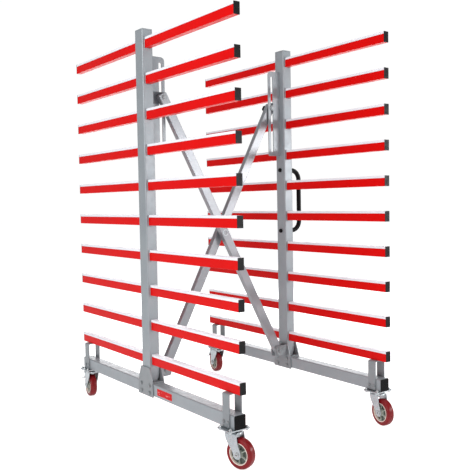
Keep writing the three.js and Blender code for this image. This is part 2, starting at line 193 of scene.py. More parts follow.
def plastic(name, light, dark, roughness, grain=900.0, strength=0.12, gloss=0.5):
    """Moulded plastic: cloudy shade, spark-eroded grain and uneven gloss."""
    k = Look(name)
    k.bump(k.noise(grain, 2.0), strength, 0.0002)
    return k.set(
        Base_Color=k.ramp(k.noise(22.0, 4.0), (0.3, dark), (0.7, light)),
        Roughness=k.level(k.noise(60.0), roughness - 0.07, roughness + 0.07),
        Specular_IOR_Level=gloss,
    )


FRAME_GREY = powder_coat(
    "frame_grey", tone(156, 162, 166), tone(147, 153, 158), 0.38, 0.3, 0.3
)
# The frame's grey powder coat made darker for the stays and foot brackets: painted shade.
BRACKET_SHADED_GREY = powder_coat(
    "bracket_grey_painted_shade", tone(143, 148, 151), tone(133, 138, 142), 0.38, 0.3, 0.3
)
ARM_GREY = bright_steel(
    "arm_grey", tone(148, 151, 155), tone(143, 146, 151), 0.34, 90.0, 0.6, 0.01, 0.05,
    patchy=0.012,
)
BEAM_RED = powder_coat(
    "beam_red", tone(214, 4, 3), tone(206, 3, 2), 0.34, 0.0, 0.1, peel=0.03
)
ZINC = bright_steel("zinc", tone(196, 202, 205), tone(176, 183, 187), 0.3)
BOLT_STEEL = bright_steel(
    "bolt_steel", tone(206, 209, 210), tone(182, 186, 188), 0.25, 500.0
)
STRIP = plastic("strip", tone(232, 232, 238), tone(224, 224, 231), 0.42, 600.0, 0.08)
BLACK = plastic("black_plastic", tone(14, 13, 15), tone(8, 8, 9), 0.36, gloss=0.1)
CAP = plastic("cap_plastic", tone(24, 22, 24), tone(17, 16, 18), 0.42, gloss=0.2)
RIM = plastic("rim_cream", tone(236, 222, 210), tone(224, 208, 196), 0.4)
# The wheel's web is the spokes' plastic made darker: painted shade in the recess between the ribs.
WEB_SHADE = plastic("wheel_web_painted_shade", tone(88, 96, 88), tone(62, 70, 64), 0.5)
SPOKE = plastic("wheel_spokes", tone(176, 182, 172), tone(158, 165, 156), 0.45)
# The shoe's dark grey is the tone of the shade on the guide beside the column: painted shade.
SHOE_SHADE_GREY = plastic("shoe_grey_painted_shade", tone(98, 104, 110), tone(86, 92, 98), 0.45, gloss=0.3)
DULL_STEEL = bright_steel(
    "dull_steel", tone(152, 156, 158), tone(132, 137, 140), 0.4, 500.0, 0.6
)
# Dark grey for bearing rings, axle ends, pedal ridges and the knob's end, and for painted shade in holes
# and gaps.
DARK = plastic("dark_parts_and_painted_shade", tone(40, 42, 44), tone(26, 27, 29), 0.4)


def tread_look():
    """Cast polyurethane: deep red, with faint rolling marks round the tread."""
    k = Look("wheel")
    cloud = k.ramp(
        k.noise(30.0, 4.0), (0.3, tone(112, 6, 14)), (0.7, tone(136, 12, 20))
    )
    marks = k.ramp(
        k.noise(55.0, 5.0, 0.7, (0.35, 4.0, 0.35)),
        (0.35, (0.8, 0.78, 0.78, 1)),
        (0.62, (1, 1, 1, 1)),
    )
    k.bump(k.noise(420.0, 3.0), 0.1, 0.0003)
    return k.set(
        Base_Color=k.blend(0.6, cloud, marks, "MULTIPLY"),
        Roughness=k.level(k.noise(45.0), 0.24, 0.4),
        Specular_IOR_Level=0.3,
        Subsurface_Weight=0.08,
        Subsurface_Scale=0.004,
        Subsurface_Radius=(1.0, 0.2, 0.1),
    )


TREAD = tread_look()


def label_look():
    """Plain red plate with soft lighter patches, as worn print."""
    k = Look("label")
    ground = k.ramp(
        k.noise(60.0, 3.0), (0.3, tone(190, 8, 12)), (0.7, tone(204, 14, 18))
    )
    patch = k.ramp(
        k.noise(46.0, 2.0, 0.5, (1.0, 1.0, 2.2)),
        (0.56, (0, 0, 0, 1)),
        (0.66, (0.4, 0.4, 0.4, 1)),
    )
    return k.set(
        Base_Color=k.blend(patch, ground, tone(240, 190, 184)),
        Roughness=k.level(k.noise(80.0), 0.3, 0.42),
        Specular_IOR_Level=0.1,
    )


LABEL = label_look()


# ---- Outlines ----
def arc(u, v, r, start, end, steps):
    return [
        (
            u + r * math.cos(math.radians(start + (end - start) * i / steps)),
            v + r * math.sin(math.radians(start + (end - start) * i / steps)),
        )
        for i in range(steps + 1)
    ]


def rounded(u0, u1, v0, v1, r, steps=4):
    return (
        arc(u1 - r, v1 - r, r, 0, 90, steps)
        + arc(u0 + r, v1 - r, r, 90, 180, steps)
        + arc(u0 + r, v0 + r, r, 180, 270, steps)
        + arc(u1 - r, v0 + r, r, 270, 360, steps)
    )


def circle(u, v, r, steps=32):
    return arc(u, v, r, 0, 360, steps)[:-1]


def hexagon(u, v, r, turn=0):
    return arc(u, v, r, turn, turn + 360, 6)[:-1]


def softened(points, steps=5):
    """Closed outline with rounded corners; each point is (u, v, radius)."""
    out = []
    n = len(points)
    for i, (u, v, r) in enumerate(points):
        if r <= 0:
            out.append((u, v))
            continue
        here = Vector((u, v))
        back = Vector(points[i - 1][:2]) - here
        ahead = Vector(points[(i + 1) % n][:2]) - here
        a = here + back.normalized() * r
        b = here + ahead.normalized() * r
        for k in range(steps + 1):
            t = k / steps
            out.append(tuple(a * (1 - t) ** 2 + here * 2 * t * (1 - t) + b * t * t))
    return out


def stadium(u, v0, v1, r, steps=10):
    return arc(u, v1, r, 0, 180, steps) + arc(u, v0, r, 180, 360, steps)


# ---- Shapes: (points, faces) ----
def at(axis, u, v, t):
    if axis == "x":
        return (t, u, v)
    if axis == "y":
        return (u, t, v)
    return (u, v, t)


def loft(rings, closed=False, ends=True):
    n = len(rings[0])
    points = [p for ring in rings for p in ring]
    faces = []
    count = len(rings)
    for i in range(count if closed else count - 1):
        a, b = i * n, (i + 1) % count * n
        for k in range(n):
            m = (k + 1) % n
            faces.append((a + k, a + m, b + m, b + k))
    if not closed and ends:
        faces.append(tuple(range(n)))
        faces.append(tuple(range((count - 1) * n, count * n)))
    return points, faces


def prism(axis, loop, a, b):
    return loft([[at(axis, u, v, a) for u, v in loop], [at(axis, u, v, b) for u, v in loop]])


def slab(axis, loop, a, b):
    """Prism between two places given in either order."""
    return prism(axis, loop, *sorted((a, b)))


def plate(axis, loop, holes, a, b):
    """Flat plate with holes through it."""
    loops = [loop, *holes]
    flat = [p for l in loops for p in l]
    triangles = tessellate_polygon([[Vector((u, v, 0)) for u, v in l] for l in loops])
    n = len(flat)
    points = [at(axis, u, v, a) for u, v in flat] + [at(axis, u, v, b) for u, v in flat]
    faces = [tuple(t) for t in triangles] + [tuple(i + n for i in t) for t in triangles]
    start = 0
    for l in loops:
        for k in range(len(l)):
            i, j = start + k, start + (k + 1) % len(l)
            faces.append((i, j, j + n, i + n))
        start += len(l)
    return points, faces


def lathe(axis, profile, u=0.0, v=0.0, sides=40, closed=False):
    """Profile of (radius, place along the axis) turned about the axis through (u, v)."""
    points, rings = [], []
    for r, t in profile:
        if r < 1e-6:
            rings.append([len(points)])
            points.append(at(axis, u, v, t))
        else:
            rings.append(list(range(len(points), len(points) + sides)))
            points += [at(axis, p, q, t) for p, q in circle(u, v, r, sides)]
    faces = []
    pairs = list(zip(rings, rings[1:]))
    if closed:
        pairs.append((rings[-1], rings[0]))
    for a, b in pairs:
        for k in range(sides):
            m = (k + 1) % sides
            if len(a) == 1 and len(b) == 1:
                break
            if len(a) == 1:
                faces.append((a[0], b[k], b[m]))
            elif len(b) == 1:
                faces.append((a[k], a[m], b[0]))
            else:
                faces.append((a[k], a[m], b[m], b[k]))
    return points, faces


def disc(axis, r, a, b, u=0.0, v=0.0, sides=32):
    return slab(axis, circle(u, v, r, sides), a, b)


def sweep(path, radius, up, sides=10, closed=False):
    """Round bar along a flat path; up is square to the path's plane, radius a number or one per point."""
    up = Vector(up)
    n = len(path)
    path = [Vector(p) for p in path]
    rings = []
    for i, p in enumerate(path):
        before = path[i - 1] if closed or i else p
        after = path[(i + 1) % n] if closed or i + 1 < n else p
        across = up.cross((after - before).normalized())
        r = radius[i] if isinstance(radius, list) else radius
        rings.append(
            [
                tuple(p + (up * math.cos(a) + across * math.sin(a)) * r)
                for a in (2 * math.pi * k / sides for k in range(sides))
            ]
        )
    return loft(rings, closed=closed)


def nut(axis, r, a, b, u, v, turn=0):
    """Hexagon standing from a to b, chamfered at b."""
    chamfer = (b - a) * 0.22
    rings = []
    for t, scale in ((a, 1.0), (b - chamfer, 1.0), (b, 0.86)):
        rings.append([at(axis, p, q, t) for p, q in hexagon(u, v, r * scale, turn)])
    return loft(rings)


class Piece:
    """One visible piece, put together from closed shells, each with its own material."""

    def __init__(self, name, place=None):
        self.name = name
        self.place = place or Matrix()
        self.bm = bmesh.new()
        self.materials = []

    def add(self, shape, material, turn=None):
        if material not in self.materials:
            self.materials.append(material)
        points, faces = shape
        matrix = self.place @ (turn or Matrix())
        corners = [self.bm.verts.new(matrix @ Vector(p)) for p in points]
        made = [self.bm.faces.new([corners[i] for i in face]) for face in faces]
        for face in made:
            face.material_index = self.materials.index(material)
            face.smooth = True
        bmesh.ops.recalc_face_normals(self.bm, faces=made)
        return self

    def bolt(self, axis, u, v, face, out, r=8.0, head=5.0, washer=11.0, turn=0, material=None):
        """Washer and hexagon head on a face; out is the sign of the way it stands."""
        m = material or BOLT_STEEL
        if washer:
            self.add(
                lathe(
                    axis,
                    [
                        (0, face),
                        (washer, face),
                        (washer, face + out * 1.0),
                        (washer - 0.5, face + out * 1.5),
                        (0, face + out * 1.5),
                    ],
                    u,
                    v,
                    24,
                ),
                m,
            )
        self.add(nut(axis, r, face, face + out * head, u, v, turn), m)
        return self

    def done(self, body, *nodes, slot=None, bevel=0.6, segments=2, angle=40):
        mesh = bpy.data.meshes.new(self.name)
        self.bm.transform(Matrix.Scale(MM, 4))
        self.bm.to_mesh(mesh)
        self.bm.free()
        for m in self.materials:
            mesh.materials.append(m)
        obj = bpy.data.objects.new(self.name, mesh)
        bpy.context.scene.collection.objects.link(obj)
        if bevel:
            rounder = obj.modifiers.new("edges", "BEVEL")
            rounder.width = bevel * MM
            rounder.segments = segments
            rounder.limit_method = "ANGLE"
            rounder.angle_limit = math.radians(angle)
            rounder.use_clamp_overlap = False
            rounder.miter_outer = "MITER_ARC"
        weigh = obj.modifiers.new("normals", "WEIGHTED_NORMAL")
        weigh.weight = 90
        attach(obj, body)
        if nodes:
            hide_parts(*nodes)
        return obj


def weld(piece, plane, centre, half_u, half_v, r=2.0, axis="x", material=None):
    """Ripple-faced bead round a rectangle that lies across the axis."""
    u0, v0 = centre
    corner = 2.5
    loop = rounded(u0 - half_u, u0 + half_u, v0 - half_v, v0 + half_v, corner, 2)
    path, radii = [], []
    for i, (u, v) in enumerate(loop):
        nu, nv = loop[(i + 1) % len(loop)]
        steps = max(1, round(math.hypot(nu - u, nv - v) / 2.0))
        for k in range(steps):
            t = k / steps
            path.append(at(axis, u + (nu - u) * t, v + (nv - v) * t, plane))
            radii.append(r * (1.0 if len(radii) % 2 else 0.82))
    if len(path) % 2:
        radii[-1] = r * 0.9
    piece.add(sweep(path, radii, at(axis, 0, 0, 1), 8, closed=True), material or FRAME_GREY)


def seam(piece, start, end, r=2.0, material=None):
    """Straight weld bead between two points."""
    a, b = Vector(start), Vector(end)
    steps = max(2, round((b - a).length / 2.4))
    path = [tuple(a.lerp(b, i / steps)) for i in range(steps + 1)]
    radii = [r * (1.0 if i % 2 else 0.8) for i in range(steps + 1)]
    radii[0] = radii[-1] = r * 0.55
    direction = (b - a).normalized()
    up = direction.orthogonal().normalized()
    piece.add(sweep(path, radii, up, 8), material or FRAME_GREY)


# ---- Places ----
base_low, base_high = limits("base_tube_front")
column_low, column_high = limits("column_front")
COLUMN_Y = {"front": middle("column_front")[1], "rear": middle("column_rear")[1]}
HALF_X = (column_high[0] - column_low[0]) / 2
HALF_Y = (column_high[1] - column_low[1]) / 2
GAP = 0.3  # between touching pieces
SKIN = 0.05  # kept inside the CAD surface
PLATE_IN, PLATE_OUT = 28.3, 33.3  # faces of the bracket plates and stay legs, from the tube's middle
GUIDE_HALF = 3.0
GUIDE_EDGE = 108.0
SLOT_LOW, SLOT_HIGH, SLOT_R = 1345.0, 1732.0, 8.0
ARM_IN, ARM_OUT = 6.9, 34.9
ARM_HALF, ARM_END = 22.5, 18.0  # half width, and how far an arm runs past its pins
PIN_R = 6.0
PIVOT_Z, SLIDER_Z, PIVOT_Y = 260.0, 1572.0, 84.0  # pins of the scissor, Y from the column's middle
HANDLE_LOW, HANDLE_HIGH, HANDLE_R = 910.0, 1240.0, 12.45
SPAN = COLUMN_Y["rear"] - COLUMN_Y["front"] - 2 * PIVOT_Y
RISE = SLIDER_Z - PIVOT_Z
ARM_LENGTH = math.hypot(SPAN, RISE)
ARM_TILT = math.atan2(SPAN, RISE)
CENTRE_Z = (PIVOT_Z + SLIDER_Z) / 2


def half_place(half):
    turn = Matrix.Rotation(math.pi, 4, "Z") if half == "rear" else Matrix()
    return Matrix.Translation((0, COLUMN_Y[half], 0)) @ turn


LEVELS = 10


def beam(half, level):
    """Red tube, pale strip on top each side of the column, ribbed cap in each end."""
    node = f"beam_{half}_{level:02d}"
    low, high = limits(node)
    end = high[0]
    wide = (high[1] - low[1]) / 2
    z0, z1 = low[2], high[2]
    y = (high[1] + low[1]) / 2
    seat = z1 - 12.0
    cap = 3.0
    rib_half, rib_pitch = 0.9, 4.5
    p = Piece(f"look_{node}", Matrix.Translation((0, y, 0)))
    p.add(
        prism("x", rounded(-wide, wide, z0, seat, 2.2, 3), -end + cap, end - cap),
        BEAM_RED,
    )
    strip = softened(
        [
            (-wide + 0.3, seat + 0.5, 0.6),
            (wide - 0.3, seat + 0.5, 0.6),
            (wide - 0.3, z1 - 0.1, 2.6),
            (-wide + 0.3, z1 - 0.1, 2.6),
        ],
        3,
    )
    core = rounded(-wide + 2, wide - 2, seat - 1, seat + 2, 0.3, 1)
    for side in (-1, 1):
        root, tip = side * (HALF_X + 1.5), side * (end - cap)
        p.add(slab("x", strip, root, tip), STRIP)
        p.add(slab("x", core, root, tip), BEAM_RED)
        face = rounded(-wide, wide, z0, z1, 1.6, 3)
        p.add(slab("x", face, side * (end - cap + 0.2), side * (end - 0.6)), CAP)
        for k in range(5):
            v = (k - 2) * rib_pitch
            rib = rounded(v - rib_half, v + rib_half, z0 + 5, z1 - 5, 0.6, 2)
            p.add(slab("x", rib, side * (end - 1.4), side * (end - SKIN)), CAP)
        # Dark disc under the beam near each end: painted shade standing for a drain hole.
        p.add(disc("z", 3.0, z0 - 0.04, z0 + 1.0, side * 600, 0, 16), DARK)
    p.done(f"{half}_frame", node, slot="beam_red", bevel=0.35)


def column(half):
    """Tube pinched at its foot, welds round its windows, flat cap."""
    node = f"column_{half}"
    low, high = limits(node)
    p = Piece(f"look_{node}", half_place(half))
    rings = []
    foot = low[2]
    for z, hy, r in (
        (foot, 15.0, 3.0),
        (foot + 5, 18.0, 4.0),
        (foot + 22, 23.0, 5.0),
        (foot + 34, 26.0, 6.0),
        (foot + 48, HALF_Y - 0.3, 6.0),
        (foot + 62, HALF_Y, 6.0),
        (high[2], HALF_Y, 6.0),
    ):
        rings.append([(x, y, z) for x, y in rounded(-HALF_X, HALF_X, -hy, hy, r, 5)])
    p.add(loft(rings), FRAME_GREY)
    for level in range(1, LEVELS + 1):
        zc = middle(f"beam_{half}_{level:02d}")[2]
        for side in (-1, 1):
            weld(p, side * (HALF_X + 0.1), (0, zc - 6.5), 16.0, 20.0, 1.9)
    p.done(f"{half}_frame", node, slot="frame_grey", bevel=0.7)

    low, high = limits(f"column_cap_{half}")
    p = Piece(f"look_column_cap_{half}", half_place(half))
    outline = rounded(-HALF_X, HALF_X, -HALF_Y, HALF_Y, 6.0, 6)
    p.add(prism("z", outline, low[2], high[2] - 0.02), FRAME_GREY)
    inset_x, inset_y = HALF_X - 1.2, HALF_Y - 1.2
    # Dark ring just under the cap, set in from its edge: painted shadow below the cap.
    shade_ring = rounded(-inset_x, inset_x, -inset_y, inset_y, 5.0, 6)
    p.add(prism("z", shade_ring, low[2] - 0.3, low[2] + 1), DARK)
    p.done(f"{half}_frame", f"column_cap_{half}", slot="frame_grey", bevel=1.6, segments=3)


def base(half):
    """Base tube and its two ribbed end caps."""
    z0, z1 = base_low[2], base_high[2]
    wide = (base_high[1] - base_low[1]) / 2
    end = base_high[0]
    outline = rounded(-wide, wide, z0, z1, 5.0, 6)
    plug = rounded(-wide + 4, wide - 4, z0 + 4, z1 - 4, 3.0, 4)
    rib_half, rib_pitch = 1.0, 5.0
    p = Piece(f"look_base_tube_{half}", half_place(half))
    p.add(prism("x", outline, -end, end), FRAME_GREY)
    p.done(f"{half}_frame", f"base_tube_{half}", slot="frame_grey", bevel=0.5)
    for side, word in ((-1, "left"), (1, "right")):
        node = f"base_cap_{half}_{word}"
        low, high = limits(node)
        tip = high[0] if side > 0 else low[0]
        p = Piece(f"look_{node}", Matrix.Translation((0, COLUMN_Y[half], 0)))
        p.add(slab("x", outline, side * (end + GAP), tip - side * 0.6), BLACK)
        p.add(slab("x", plug, side * (end - 12), side * (end + 1)), BLACK)
        for k in range(9):
            v = (k - 4) * rib_pitch
            rib = rounded(v - rib_half, v + rib_half, z0 + 7, z1 - 7, 0.8, 2)
            p.add(slab("x", rib, tip - side * 1.6, tip - side * SKIN), BLACK)
        p.done(f"{half}_frame", node, slot="black_plastic", bevel=0.5)


def stay(half, word):
    """Flat bar bent over the end of the base tube, bolted through it."""
    node = f"stay_{half}_{word}"
    low, high = limits(node)
    x = (low[0] + high[0]) / 2
    place = Matrix.Translation((x, COLUMN_Y[half], 0))
    inner, outer = PLATE_IN, PLATE_OUT
    top, bottom = high[2], low[2]
    p = Piece(f"look_{node}", place)
    loop = softened(
        [
            (-outer, bottom, 0),
            (-inner, bottom, 0),
            (-inner, top - 5, 3.5),
            (inner, top - 5, 3.5),
            (inner, bottom, 0),
            (outer, bottom, 0),
            (outer, top, 8),
            (-outer, top, 8),
        ],
        6,
    )
    p.add(prism("x", loop, -22.5, 22.5), BRACKET_SHADED_GREY)
    for sx in (-14.0, 14.0):
        for out in (-1, 1):
            size = {"r": 6.5, "head": 4.0, "washer": 8.6}
            p.bolt("y", sx, 189.0, out * outer, out, **size, turn=12 + sx, material=DULL_STEEL)
    p.done(f"{half}_frame", node, slot="frame_grey", bevel=0.8)


def foot_bracket(half):
    """Two flared side plates, saddle, bolts, and the lugs and pin of one scissor arm."""
    node = f"foot_bracket_{half}"
    inner, outer = PLATE_IN, PLATE_OUT
    saddle_low, saddle_high = 222.3, 227.0
    z0 = limits(node)[0][2]
    loop = softened(
        [
            (-70, z0, 5),
            (70, z0, 5),
            (64, 233, 20),
            (40, 295, 6),
            (-40, 295, 6),
            (-64, 233, 20),
        ]
    )
    p = Piece(f"look_{node}", half_place(half))
    for a, b in ((-outer, -inner), (inner, outer)):
        p.add(prism("y", loop, a, b), BRACKET_SHADED_GREY)
    saddle = rounded(-inner - 1, inner + 1, saddle_low, saddle_high, 0.5, 1)
    p.add(prism("x", saddle, -62, 62), BRACKET_SHADED_GREY)
    for side in (-1, 1):
        x, y, z = side * 58, inner - 1.0, saddle_high + 0.6
        seam(p, (x, -y, z), (x, y, z), 1.8, BRACKET_SHADED_GREY)
        y, z = side * 16.5, saddle_high + 1.0
        seam(p, (-34, y, z), (34, y, z), 2.2, BRACKET_SHADED_GREY)
        for y in (-inner, inner):
            x = side * (HALF_X + 0.3)
            seam(p, (x, y * 0.98, 272), (x, y * 0.98, 293), 1.8, BRACKET_SHADED_GREY)
    ear_r, ear_thick = 30.0, 5.0
    low_z, high_z = PIVOT_Z - ear_r, PIVOT_Z + ear_r
    arm_x = -(ARM_IN + ARM_OUT) / 2
    reach = (ARM_OUT - ARM_IN) / 2 + 0.7
    x0, x1 = arm_x - reach, arm_x + reach
    ear = softened(
        [
            (outer - 1, low_z, 0),
            (PIVOT_Y + ear_r, low_z, 14),
            (PIVOT_Y + ear_r, high_z, 14),
            (outer - 1, high_z, 0),
        ],
        7,
    )
    for a, b in ((x0 - ear_thick, x0), (x1, x1 + ear_thick)):
        p.add(prism("x", ear, a, b), BRACKET_SHADED_GREY)
        for x in (a, b):
            seam(p, (x, outer + 0.4, low_z), (x, outer + 0.4, high_z), 1.7, BRACKET_SHADED_GREY)
    p.add(disc("x", PIN_R, x0 - 6, x1 + 6, PIVOT_Y, PIVOT_Z, 24), BOLT_STEEL)
    for face, out in ((x0 - ear_thick, -1), (x1 + ear_thick, 1)):
        boss = [(0, face), (25, face), (25, face + out * 0.9), (24, face + out * 1.4)]
        boss += [(20, face + out * 1.4), (19, face + out * 0.7), (0, face + out * 0.7)]
        p.add(lathe("x", boss, PIVOT_Y, PIVOT_Z, 48), DULL_STEEL)
    for face, out, turn in ((x0 - ear_thick, -1, 10), (x1 + ear_thick, 1, 25)):
        size = {"r": 10, "head": 5, "washer": 12}
        p.bolt("x", PIVOT_Y, PIVOT_Z, face, out, **size, turn=turn, material=DULL_STEEL)
    for x in (-38.0, 38.0):
        for z in (176.0, 211.0):
            for out in (-1, 1):
                turn = (x + z) % 60
                size = {"r": 8, "head": 5, "washer": 10.5}
                p.bolt("y", x, z, out * outer, out, **size, turn=turn, material=DULL_STEEL)
    p.done(f"{half}_frame", node, slot="frame_grey", bevel=0.8)


def guide(half):
    """Slotted plate stitch-welded to the column's inner face."""
    node = f"guide_{half}"
    low, high = limits(node)
    y0, y1 = HALF_Y + GAP, GUIDE_EDGE
    z0, z1 = low[2], high[2]
    stitches, stitch = 4, 60
    loop = softened([(y0, z0, 3), (y1, z0, 8), (y1, z1, 22), (y0, z1, 3)], 7)
    slot = stadium(PIVOT_Y, SLOT_LOW, SLOT_HIGH, SLOT_R)
    p = Piece(f"look_{node}", half_place(half))
    p.add(plate("x", loop, [slot], -GUIDE_HALF, GUIDE_HALF), FRAME_GREY)
    for side in (-1, 1):
        x, y = side * (GUIDE_HALF + 0.3), y0 + 0.6
        for k in range(stitches):
            z = z0 + 18 + k * (z1 - z0 - 36 - stitch) / (stitches - 1)
            seam(p, (x, y, z), (x, y, z + stitch), 1.9)
    p.done(f"{half}_frame", node, slot="frame_grey", bevel=0.7)


def handle():
    """Bent bar, a foot disc at each end, and a screw cap on the column's other face."""
    root, out, bend = HALF_Y + GAP, 103.0, 52.0
    z0, z1 = HANDLE_LOW, HANDLE_HIGH
    p = Piece("look_handle", Matrix.Translation((0, COLUMN_Y["rear"], 0)))
    path = [(root, z1), (out - bend - 12, z1)]
    path += arc(out - bend, z1 - bend, bend, 90, 0, 14)
    path += arc(out - bend, z0 + bend, bend, 0, -90, 14)
    path += [(out - bend - 12, z0), (root, z0)]
    p.add(sweep([(0, y, z) for y, z in path], HANDLE_R, (1, 0, 0), 28), BLACK)
    foot = [(0, root), (16.8, root), (17, root + 1.0), (16.6, root + 3.4)]
    foot += [(15.0, root + 4.8), (0, root + 5)]
    cap = [(0, -root), (11, -root), (11, -root - 5.5), (10.2, -root - 8)]
    cap += [(8, -root - 9.6), (0, -root - 10)]
    for z in (z0, z1):
        p.add(lathe("y", foot, 0, z, 40), BLACK)
        p.add(lathe("y", cap, 0, z, 32), BLACK)
    p.done("rear_frame", "handle", slot="black_plastic", bevel=0)


def arm(node, body, x0, tilt):
    """Scissor arm, drawn upright about its centre and tilted into place."""
    place = Matrix.Translation((0, 0, CENTRE_Z)) @ Matrix.Rotation(tilt, 4, "X")
    end = ARM_LENGTH / 2 + ARM_END
    outline = rounded(-ARM_HALF, ARM_HALF, -end, end, 5.0, 5)
    p = Piece(f"look_{node}", place)
    p.add(prism("x", outline, x0, x0 + ARM_OUT - ARM_IN), ARM_GREY)
    p.done(body, node, slot="arm_grey", bevel=2.6, segments=4)


def centre_pin():
    """Hollow pin with a spacer between the arms and a flange behind them."""
    near, far = ARM_OUT + 1.5, -ARM_OUT - 6.0
    p = Piece("look_centre_pin", Matrix.Translation((0, 0, CENTRE_Z)))
    bush = [(8.5, near - 0.6), (9.2, near), (11.4, near), (12, near - 0.6)]
    bush += [(12, ARM_IN), (16, ARM_IN - GAP), (16, -ARM_IN + GAP), (12, -ARM_IN)]
    bush += [(12, -ARM_OUT), (15.4, -ARM_OUT - GAP), (16, -ARM_OUT - 1)]
    bush += [(16, far + 1), (15.2, far), (9.2, far), (8.5, far + 0.6)]
    # The bush is in the darker dull steel as painted shade round its bore.
    p.add(lathe("x", bush, 0, 0, 48, closed=True), DULL_STEEL)
    ring = [(12.1, ARM_OUT + SKIN), (15.6, ARM_OUT + SKIN), (16, ARM_OUT + 0.4)]
    ring += [(15.6, ARM_OUT + 1.1), (12.1, ARM_OUT + 1.1)]
    p.add(lathe("x", ring, 0, 0, 48, closed=True), ZINC)
    p.done("arm_b", "centre_pin", slot="zinc", bevel=0)


def slider(half):
    """Shoe on the arm's side of the guide, washer on the other, clamp bolt through the slot."""
    front = half == "front"
    toward = 1 if front else -1
    place = Matrix.Translation((0, COLUMN_Y[half], SLIDER_Z))
    face = GUIDE_HALF + GAP
    shoe = (face, face + 3.0) if front else (-face - 3.0, -face)
    washer = (-face - 4, -face) if front else (face, face + 4)
    head = ARM_OUT + GAP if front else face
    tail = -face - 4.3 - 18 if front else -ARM_OUT - GAP - 18
    pivot = toward * PIVOT_Y
    ya, yb = sorted((toward * 40.0, toward * 102.0))
    p = Piece(f"look_slider_{half}", place)
    # Shoe and slot boss in the darker grey, as painted shade on the guide.
    p.add(prism("x", rounded(ya, yb, -28, 28, 5, 5), *shoe), SHOE_SHADE_GREY)
    p.add(disc("x", SLOT_R - GAP, -face - 1, face + 1, pivot, 0, 28), SHOE_SHADE_GREY)
    p.add(disc("x", 14, *washer, pivot, 0, 36), DULL_STEEL)
    p.add(disc("x", PIN_R, tail, head + 2, pivot, 0, 24), BOLT_STEEL)
    size = {"r": 9.5, "head": 6.5, "washer": 12.5 if front else 0}
    p.bolt("x", pivot, 0, head, 1, **size, turn=18, material=DULL_STEEL)
    p.done(f"{half}_slider", f"slider_{half}", slot="black_plastic", bevel=0.7)


def knob(half):
    """Six-lobed clamp knob. Sections are (place, radius, depth of the flutes)."""
    toward = 1 if half == "front" else -1
    x = limits(f"knob_{half}")[1][0]
    place = Matrix.Translation((x, COLUMN_Y[half] + toward * PIVOT_Y, SLIDER_Z))
    p = Piece(f"look_knob_{half}", place)
    sides, lobes = 72, 6
    rings = []
    for t, r, depth in (
        (0.0, 9.2, 0.0),
        (-0.8, 10.0, 0.0),
        (-7.0, 10.6, 0.0),
        (-8.2, 17.0, 2.0),
        (-9.8, 19.3, 3.8),
        (-12.4, 20.0, 4.2),
        (-22.6, 19.8, 4.2),
        (-24.6, 18.8, 3.6),
        (-25.7, 16.8, 2.6),
        (-26.0, 13.0, 0.8),
    ):
        ring = []
        for k in range(sides):
            a = 2 * math.pi * k / sides
            flute = max(0.0, math.cos(lobes * a + math.pi)) ** 1.6
            reach = r - depth * flute
            ring.append((t, reach * math.cos(a), reach * math.sin(a)))
        rings.append(ring)
    p.add(loft(rings), BLACK)
    p.add(lathe("x", [(0, -25.4), (9.4, -25.6), (9.8, -25.98), (0, -25.98)], 0, 0, 32), DARK)
    p.done(f"{half}_knob", f"knob_{half}", slot="black_plastic", bevel=0)


# ---- Casters, each about its swivel axis with the trail towards +X ----
TRAIL = 34.0
WHEEL_R = 63.08  # a little under the CAD wheel, to stay inside its facets
AXLE_Z = 63.5
PEDAL_X, PEDAL_Z = 50.0, 134.0  # pedal pin
TRAIL_ANGLE = {"front_left": 172, "front_right": 16, "rear_left": 171, "rear_right": -8}


def caster_plate(corner, place):
    """Top plate with its bolts, bearing cup, king bolt and nut."""
    top, half_x, half_y = 163.7, 45.0, 53.98
    p = Piece(f"look_caster_plate_{corner}", place)
    p.add(prism("z", rounded(-half_x, half_x, -half_y, half_y, 8, 6), top - 5, top), ZINC)
    cup = [
        (0, top - 5),
        (30, top - 5),
        (33.5, top - 6.2),
        (33.5, top - 9.5),
        (31.5, top - 11.5),
        (28.5, top - 12.2),
        (27.5, 150.0),
        (0, 150.0),
    ]
    p.add(lathe("z", cup, 0, 0, 48), ZINC)
    p.add(disc("z", 8, 131, top - 6, 0, 0, 24), BOLT_STEEL)
    p.add(nut("z", 13, 138.4, 129.0, 0, 0, 8), BOLT_STEEL)
    for x in (-33.0, 33.0):
        for y in (-42.0, 42.0):
            p.bolt("z", x, y, top, 1, r=7.5, head=6, washer=9, turn=(x * 3 + y) % 60)
            p.add(disc("z", 4, top + 5, top + 9, x, y, 16), BOLT_STEEL)
            p.bolt("z", x, y, top - 5, -1, r=7.5, head=7, washer=9, turn=(x + y * 2) % 60)
    body = "front_frame" if corner.startswith("front") else "rear_frame"
    p.done(body, f"caster_plate_{corner}", slot="zinc", bevel=0.6)


def strap(widths, half_outer, half_inner, top, bend):
    """Pressed strap bent over the wheel. widths: (height, x from, x to) up one leg, last at the bend."""
    stations = []
    for z, a, b in widths:
        stations.append((half_outer, z, half_inner, z, a, b))
    a, b = widths[-1][1:]
    steps = 7
    thick = half_outer - half_inner
    cy, cz = half_outer - bend, top - bend
    for k in range(1, steps + 1):
        t = math.radians(90 * k / steps)
        stations.append(
            (
                cy + bend * math.cos(t),
                cz + bend * math.sin(t),
                cy + (bend - thick) * math.cos(t),
                cz + (bend - thick) * math.sin(t),
                a,
                b,
            )
        )
    mirror = [(-yo, zo, -yi, zi, a, b) for yo, zo, yi, zi, a, b in reversed(stations)]
    rings = []
    for yo, zo, yi, zi, a, b in stations + mirror:
        rings.append([(a, yo, zo), (b, yo, zo), (b, yi, zi), (a, yi, zi)])
    return loft(rings)


